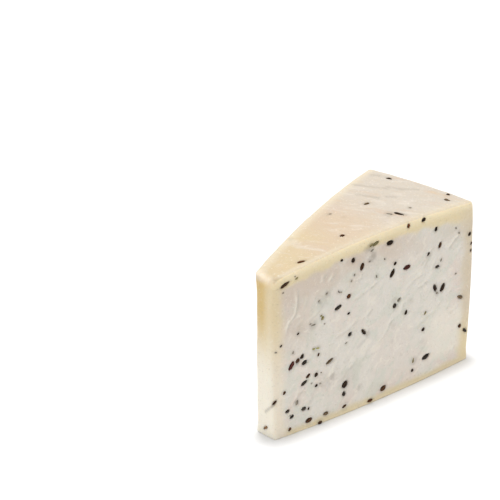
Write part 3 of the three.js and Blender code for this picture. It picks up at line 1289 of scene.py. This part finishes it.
    def _poke_crowded(self, bm: bmesh.types.BMesh) -> None:
        """Gives a middle vertex to faces with many corners or with two edges on one neighbour.

        Args:
            bm: The mesh.
        """
        crowded = []
        for face in bm.faces:
            beside = [other for edge in face.edges for other in edge.link_faces if other is not face]
            if len(face.verts) > self.most_corners or len(set(beside)) < len(beside):
                crowded.append(face)
        bmesh.ops.poke(bm, faces=crowded)

    def _sculpt(self, mesh: bpy.types.Mesh) -> None:
        """Moves the vertices for tears, dents and seats, and stores what the material reads.

        Args:
            mesh: The smooth wedge.
        """
        points = self.layout.from_frame(read_points(mesh))
        normals = np.empty(len(points) * 3)
        mesh.vertices.foreach_get("normal", normals)
        depths = self.shape.depths(points)
        cut, heel, back, nose, top, base = depths
        border = np.minimum.reduce([heel, back, top, base]) - cut
        on_cut = self.cut_border(border) * self.cut_nose_border(nose - cut)
        on_rind = 1 - on_cut
        relief, torn_light_and_shade = self._tears(points, on_cut > 0)
        calm, seat_move, seat_shade = SeatPress().press(points, self.seats, self.bit_seats)
        ridge_lip_and_highlight = self.ridge_reach(np.minimum(cut, nose)) * self.ridge_top(top)
        inland = self.inland_reach(cut) * self.inland_along(points[:, 0])

        height = on_cut * self.relief_inland(np.minimum.reduce(depths[1:])) * relief * calm
        height += on_rind * sum(lumps(points) for lumps in self.dents) * calm
        height += self.ridge_height * ridge_lip_and_highlight
        height *= self.foot_calm(points[:, 2])
        moved = points + normals.reshape(-1, 3) * (height + seat_move)[:, None]
        moved[:, 2] = np.maximum(moved[:, 2], 0)
        write_points(mesh, self.layout.to_frame(moved))

        marks = Marks()
        # Grey marks and painted shade round the seeds.
        stain_and_seat_shade = seat_shade + marks.on_cut(points) * on_cut + marks.on_top(points) * self.marks_top(top)
        stored = {
            "on_cut": on_cut, "torn_light_and_shade": torn_light_and_shade, "stain_and_seat_shade": np.clip(stain_and_seat_shade + marks.on_nose(points), 0, 1),
            # Painted highlight on the lip, with the paler band inland.
            "ridge_lip_and_highlight": np.maximum(ridge_lip_and_highlight * self.ridge_highlight_share, inland) * self.ridge_top(top) * on_rind,
            **ColourMap().values(points, depths),
        }
        for name, values in stored.items():
            write_values(mesh, name, values)

    def _tears(self, points: np.ndarray, wanted: np.ndarray) -> tuple[np.ndarray, np.ndarray]:
        """Works out the cut face's torn surface.

        Args:
            points: Rows of positions.
            wanted: Which rows lie on the cut.

        Returns:
            The height in millimetres, and a share from painted shade in hollows and cracks to painted
            highlight on crests, 0.5 where plain, for every row.
        """
        face = points[wanted] * (1, 0, 1)
        across = face[:, 0] + self.waver_across(face)
        up = face[:, 2] + self.waver_up(face)
        height = sum(lumps(face) for lumps in self.swells)
        crest_light = np.zeros(len(face))
        for ledge in (*self.ledges, *LedgeScatter().throw()):
            step, strength = ledge.relief(across, up)
            height += step
            crest_light += strength
        cracked = self.crack_width(np.abs(self.crack_lines(face)))
        cracked = cracked * self.crack_field_edge(self.crack_fields(face))
        relief = np.zeros(len(points))
        relief[wanted] = height - self.crack_depth * cracked
        # A share from painted shade (0) to painted highlight (1) on the cut, 0.5 where plain.
        torn_light_and_shade = np.full(len(points), 0.5)
        torn_light_and_shade[wanted] = np.clip(0.5 + self.crest_highlight * crest_light - self.crack_shade * cracked, 0, 1)
        return relief, torn_light_and_shade


# ---- The seeds ----

@dataclass(frozen=True)
class SeedMaker:
    """Makes bent, ribbed spindles in their seats."""
    layout: Layout
    finish: bpy.types.Material
    ribs: int = 5
    rib_height: float = 0.09
    bend: float = 0.14
    taper: tuple = (0.08, 0.3)
    bluntness: tuple = (0.8, 1.15)
    tone_spread: float = 0.25
    lumpiness: float = 0.22
    lump_fineness: float = 1.6
    lump_spread: tuple = (1, 9, 20)
    pole_ring: float = 1e-6

    def spindle(self, bm: bmesh.types.BMesh, seat: Seat, tone: SeedTone, sides: int, rings: int,
                rng: random.Random) -> None:
        """Adds one seed to a mesh, in laying-out millimetres.

        Args:
            bm: The mesh, from start.
            seat: Where the seed lies.
            tone: Its coat's colour.
            sides: How many faces go round it.
            rings: How many faces go along it.
            rng: Draws what sets it apart from the others.
        """
        rib_layer = bm.verts.layers.float["rib"]
        coat_layer = bm.verts.layers.float_color["coat"]
        turn = rng.uniform(0, math.tau)
        taper = rng.uniform(*self.taper) * rng.choice((-1, 1))
        blunt = rng.uniform(*self.bluntness)
        lift = 1 + rng.uniform(-self.tone_spread, self.tone_spread)
        coat = (*(share * lift for share in tone.value), 1.0)
        own_lumps = Vector(np.multiply(self.lump_spread, (turn, lift, taper)))
        made = bmesh.ops.create_uvsphere(bm, u_segments=sides, v_segments=rings, radius=1.0)["verts"]
        for vert in made:
            x, y, z = vert.co
            ring = math.hypot(x, y)
            angle = math.atan2(y, x)
            rib = (0.5 + 0.5 * math.cos(self.ribs * angle + turn)) ** 2
            lump = 1 + self.lumpiness * noise.noise(vert.co * self.lump_fineness + own_lumps)
            width = ring ** blunt * (1 + self.rib_height * (rib - 0.5)) * (1 - taper * z) * lump
            scale = width / ring if ring > self.pole_ring else 0.0
            vert.co = (x * scale, y * scale - self.bend * z * z, z)
            vert[rib_layer] = rib
            vert[coat_layer] = coat
        side = np.cross(seat.outward, seat.along)
        rows = np.column_stack((side * seat.half_girth, seat.outward * seat.half_girth,
                                seat.along * seat.half_length))
        place = Matrix(rows.tolist()).to_4x4()
        place.translation = Vector(seat.centre)
        bmesh.ops.transform(bm, matrix=place, verts=made)

    @staticmethod
    def start() -> bmesh.types.BMesh:
        """Starts a mesh of seeds.

        Returns:
            An empty mesh with the layers that the finish reads.
        """
        bm = bmesh.new()
        bm.verts.layers.float.new("rib")
        bm.verts.layers.float_color.new("coat")
        return bm

    def close(self, bm: bmesh.types.BMesh, name: str) -> bpy.types.Object:
        """Turns a mesh of seeds into a finished piece that goes no lower than the base.

        Args:
            bm: The mesh, in laying-out millimetres.
            name: The piece's name.

        Returns:
            The piece.
        """
        bmesh.ops.recalc_face_normals(bm, faces=bm.faces)
        mesh = bpy.data.meshes.new(name)
        bm.to_mesh(mesh)
        bm.free()
        points = read_points(mesh)
        points[:, 2] = np.maximum(points[:, 2], 0)
        write_points(mesh, self.layout.to_frame(points))
        mesh.materials.append(self.finish)
        mesh.shade_smooth()
        piece = bpy.data.objects.new(name, mesh)
        bpy.context.scene.collection.objects.link(piece)
        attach(piece, BODY)
        return piece


@dataclass(frozen=True)
class CarawaySeeds:
    """Every whole seed: a bent, five-ribbed spindle in place of its plain solid."""
    seats: dict
    maker: SeedMaker
    sides: int = 20
    rings: int = 14
    seed_step: int = 31
    tones: tuple = (
        (SeedTone.BROWN, (1, 2, 5, 13, 17, 23, 35, 37, 46)), (SeedTone.RED, (7, 19)),
        (SeedTone.RUST, (26, 32, 40, 41)), (SeedTone.HUSK, (10, 16, 24, 43, 44)), (SeedTone.GREY, (31,)),
        (SeedTone.AMBER, (47,)), (SeedTone.OLIVE, (3,)),
        (SeedTone.SLATE, (11, 12, 14, 18, 20, 22, 29, 30, 33, 36, 38, 39)),
    )

    def build(self) -> list:
        """Models a piece for each seat.

        Returns:
            The pieces.
        """
        tone_of = {number: tone for tone, numbers in self.tones for number in numbers}
        pieces = []
        for name, seat in self.seats.items():
            number = int(name[len(SEED_PREFIX):])
            bm = self.maker.start()
            tone = tone_of.get(number, SeedTone.BLACK)
            rng = random.Random(number * self.seed_step)
            self.maker.spindle(bm, seat, tone, self.sides, self.rings, rng)
            piece = self.maker.close(bm, f"seed_{number:02d}")
            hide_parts(name)
            pieces.append(piece)
        return pieces


@dataclass(frozen=True)
class Bit:
    """A broken or mostly buried seed: across the face, up it, lean in degrees, length and tone."""
    across: float
    up: float
    lean: float
    length: float
    tone: SeedTone = SeedTone.BROWN
    girth_share: float = 0.6


def bits(tone: SeedTone, *rows: tuple) -> tuple:
    """Makes bits of one tone from rows of across, up, lean, length and, if slender, girth share."""
    return tuple(Bit(*row[:4], tone, *row[4:]) for row in rows)


@dataclass(frozen=True)
class FaceFrame:
    """How places are laid out on one face: a start near it, the ways along it, and the way in."""
    start: tuple
    across: tuple
    up: tuple
    inward: tuple


FRAMES = {
    Face.CUT: FaceFrame((0.0, 0.0, 0.0), (1.0, 0.0, 0.0), (0.0, 0.0, 1.0), (0.0, 1.0, 0.0)),
    Face.HEEL: FaceFrame((128.0, 0.0, 0.0), (0.0, 1.0, 0.0), (0.0, 0.0, 1.0), (-1.0, 0.0, 0.0)),
    Face.BACK: FaceFrame((0.0, 60.0, 0.0), (1.0, 0.0, 0.0), (0.0, 0.0, 1.0), (0.0, -1.0, 0.0)),
    Face.TOP: FaceFrame((0.0, 0.0, 93.0), (1.0, 0.0, 0.0), (0.0, 1.0, 0.0), (0.0, 0.0, -1.0)),
}


@dataclass
class SeedBits:
    """The small seed fragments of one face, joined in one piece: placed ones, then scattered ones."""
    name: str
    face: Face
    placed: tuple
    shape: WedgeShape
    maker: SeedMaker
    scattered: int = 0
    across: tuple = (0.0, 0.0)
    up: tuple = (4.0, 88.0)
    lean: tuple = (-80, 80)
    length: tuple = (0.9, 2.4)
    scattered_tones: tuple = (SeedTone.BLACK, SeedTone.BROWN, SeedTone.BROWN, SeedTone.GREY)
    growth: float = 1.2
    sink: float = 0.2
    approach_rounds: int = 4
    sides: int = 8
    rings: int = 6
    rng: random.Random = field(init=False)
    all_bits: tuple = field(init=False)
    seats: list = field(init=False)

    def __post_init__(self) -> None:
        """Scatters the invented bits and finds a seat for every bit."""
        self.rng = random.Random(self.name)
        self.all_bits = (*self.placed, *(self._invent() for _ in range(self.scattered)))
        self.seats = [self._seat(bit) for bit in self.all_bits]

    def build(self) -> bpy.types.Object:
        """Models the piece.

        Returns:
            The piece.
        """
        bm = self.maker.start()
        for bit, seat in zip(self.all_bits, self.seats):
            self.maker.spindle(bm, seat, bit.tone, self.sides, self.rings, self.rng)
        return self.maker.close(bm, self.name)

    def _invent(self) -> Bit:
        """Draws one scattered bit."""
        ranges = (self.across, self.up, self.lean, self.length)
        return Bit(*(self.rng.uniform(*ends) for ends in ranges), self.rng.choice(self.scattered_tones))

    def _seat(self, bit: Bit) -> Seat:
        """Finds a bit's place on the face.

        Args:
            bit: The bit.

        Returns:
            Its seat, on the surface and a little sunk.
        """
        laid = FRAMES[self.face]
        upward = np.array(laid.up)
        point = (laid.start + bit.across * np.array(laid.across) + bit.up * upward)[None]
        for _ in range(self.approach_rounds):
            point -= self.shape.depths(point)[self.face][:, None] * np.array(laid.inward)
        point = self.shape.settle(point)[0]
        outward = self.shape.outward(point)
        level = np.cross(upward, outward)
        level /= np.linalg.norm(level)
        lean = math.radians(bit.lean)
        along = level * math.cos(lean) + np.cross(outward, level) * math.sin(lean)
        half_length = bit.length / 2 * self.growth
        half_girth = half_length * bit.girth_share
        return Seat(point - outward * self.sink * half_girth, along, outward, half_length, half_girth)


# ---- The studio ----

@dataclass(frozen=True)
class Studio:
    """A pale floor, soft white light and a long lens that looks down on the nose and the cut."""
    layout: Layout
    azimuth: float = -38.7
    elevation: float = 30.0
    lens: float = 400.0
    distance: float = 2.7944
    aim: tuple = (20.37, 44.82, 82.66)
    view_reach: float = 50.0
    floor_size: float = 24.0
    floor_white: float = 0.86
    floor_roughness: float = 0.9
    floor_gloss: float = 0.1
    sky: float = 0.88
    key_place: tuple = (0.075, 0.12, 1.9)
    key_size: float = 0.24
    key_power: float = 21.0

    def build(self) -> None:
        """Sets up camera, floor and lights."""
        self._camera()
        self._floor()
        self._lights()
        bpy.context.scene.view_settings.view_transform = "Standard"

    def _camera(self) -> None:
        """Places the camera."""
        turn, rise = math.radians(self.azimuth), math.radians(self.elevation)
        back = Vector((math.sin(turn) * math.cos(rise), -math.cos(turn) * math.cos(rise), math.sin(rise)))
        data = bpy.data.cameras.new("camera")
        data.lens = self.lens
        data.clip_end = self.view_reach
        camera = bpy.data.objects.new("camera", data)
        camera.location = Vector(self.layout.to_frame(np.array(self.aim))) + back * self.distance
        camera.rotation_euler = back.to_track_quat("Z", "Y").to_euler()
        bpy.context.scene.collection.objects.link(camera)
        bpy.context.scene.camera = camera

    def _floor(self) -> None:
        """Lays the floor."""
        bm = bmesh.new()
        bmesh.ops.create_grid(bm, x_segments=1, y_segments=1, size=self.floor_size / 2)
        mesh = bpy.data.meshes.new("floor")
        bm.to_mesh(mesh)
        bm.free()
        values = {"Base Color": (self.floor_white,) * 3, "Roughness": self.floor_roughness,
                  "Specular IOR Level": self.floor_gloss}
        mesh.materials.append(Painter("floor").finish(values))
        floor = bpy.data.objects.new("floor", mesh)
        bpy.context.scene.collection.objects.link(floor)

    def _lights(self) -> None:
        """Hangs the softbox and sets the sky."""
        world = bpy.data.worlds.new("studio")
        bpy.context.scene.world = world
        world.use_nodes = True
        background = world.node_tree.nodes["Background"]
        background.inputs["Color"].default_value = (1, 1, 1, 1)
        background.inputs["Strength"].default_value = self.sky
        data = bpy.data.lights.new("key", "AREA")
        data.energy = self.key_power
        data.size = self.key_size
        lamp = bpy.data.objects.new("key", data)
        lamp.location = self.key_place
        lamp.rotation_euler = Vector(self.key_place).to_track_quat("Z", "Y").to_euler()
        bpy.context.scene.collection.objects.link(lamp)


CUT_BITS = (
    *bits(SeedTone.BLACK, (43.4, 88.4, 0, 1.5, 0.9), (26.5, 28.4, 62, 2.4, 0.7), (4.7, 53, 35, 1.6),
          (15.5, 56, 30, 1.6), (20.9, 11.2, 60, 1.7), (48.4, 55.8, 20, 1.7), (88.7, 8.2, 45, 1.7, 0.8),
          (78.7, 73.6, 50, 2.0, 0.7), (97.1, 28.7, 47, 2.0, 0.8), (128.4, 73.1, 65, 2.2, 0.7),
          (100.8, 71.1, 50, 2.1, 0.6), (85.9, 42.7, 62, 2.5, 0.6), (26.3, 22.3, 30, 1.8, 0.7)),
    *bits(SeedTone.BROWN, (6.2, 25.3, 50, 1.9, 0.7), (27.6, 0.9, 0, 2.6), (43.4, 4.6, 20, 2.8, 0.4),
          (8.8, 3.4, 50, 2.0, 0.7), (122, 21.5, 48, 2.0, 0.9), (129.6, 67, 70, 1.6), (129.4, 63, 80, 1.5),
          (11.5, 39.5, 80, 2.6, 0.4), (28.4, 39.3, 63, 2.0, 0.5)),
    *bits(SeedTone.GREY, (13.8, 16.9, 70, 2.6, 0.5), (63.4, 87, 20, 2.1, 0.4), (43.3, 69.8, -30, 1.6, 0.5),
          (52.1, 76.6, 80, 1.4), (50.2, 73.9, 60, 1.3), (46.3, 39.4, 10, 1.4, 0.4),
          (42, 70.5, -60, 1.8, 0.4), (106.9, 46.1, -40, 1.7, 0.6), (25.3, 57.5, 0, 2.9, 0.3),
          (66.6, 70.5, -70, 1.8, 0.4), (34, 72.5, 20, 1.3), (29.1, 69.9, 60, 1.3), (23.5, 58.6, 10, 1.3),
          (32.7, 55.5, 0, 1.0), (12.2, 46.5, 70, 1.6, 0.5), (109.4, 64.5, 60, 1.8, 0.4),
          (121.2, 76.1, -50, 1.4), (119, 79.8, -55, 1.2), (119.3, 52.9, 20, 1.2), (71.8, 78.8, -60, 1.2),
          (61.9, 81, 0, 1.2)),
    *bits(SeedTone.OLIVE, (14.4, 88.5, 22, 1.7), (31.5, 59.3, 49, 2.1, 0.7), (98.7, 37.5, 47, 2.0, 0.5),
          (89.7, 13.5, 74, 2.6, 0.35), (30.5, 61.0, 20, 1.5, 0.5), (62.8, 90.4, 25, 2.4, 0.5)),
    *bits(SeedTone.LIME, (25.6, 43.6, -12, 1.8, 0.5), (28.2, 43.1, -20, 2.2, 0.35), (31.0, 60.2, 70, 1.0)),
    *bits(SeedTone.GREY, (28.9, 22.6, 0, 1.0), (29.8, 28.5, 0, 1.0), (13.4, 90, 0, 1.0),
          (5.8, 83.3, 0, 1.1), (1.8, 49.8, 0, 1.2), (9.4, 11.0, 20, 1.1), (23.6, 24.6, 40, 1.0)),
)
TOP_BITS = (
    *bits(SeedTone.GREY, (97.4, 11.7, -30, 1.6), (84.5, 12.6, -60, 3.4, 0.25), (61.7, 31.8, -20, 1.5, 0.4)),
    *bits(SeedTone.BROWN, (124.1, 13.1, -50, 1.9, 0.7)),
)


def main() -> None:
    """Builds the studio, the cheese and its seeds, and reports each piece."""
    logging.basicConfig(level=logging.INFO, format="%(name)s: %(message)s")
    shape = WedgeShape()
    layout = Layout.from_node(shape)
    Studio(layout).build()
    log.info("layout shift %s mm", [round(float(v), 3) for v in layout.shift])
    names = sorted(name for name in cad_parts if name.startswith(SEED_PREFIX))
    seats = {name: seat_of_node(name, shape, layout) for name in names}
    maker = SeedMaker(layout, SeedFinish().build())
    fragments = (
        SeedBits("bits_on_cut", Face.CUT, CUT_BITS, shape, maker),
        SeedBits("bits_on_heel", Face.HEEL, (), shape, maker, scattered=9, across=(4.0, 58.0)),
        SeedBits("bits_on_back", Face.BACK, (), shape, maker, scattered=14, across=(6.0, 108.0)),
        SeedBits("bits_on_top", Face.TOP, TOP_BITS, shape, maker),
    )
    bit_seats = [seat for part in fragments for seat in part.seats]
    body = CheesePaste(shape, layout, list(seats.values()), bit_seats).build()
    seeds = CarawaySeeds(seats, maker).build()
    for piece in (body, *seeds, *(part.build() for part in fragments)):
        log.info("%s: %d faces", piece.name, len(piece.data.polygons))


if __name__ == "__main__":
    main()
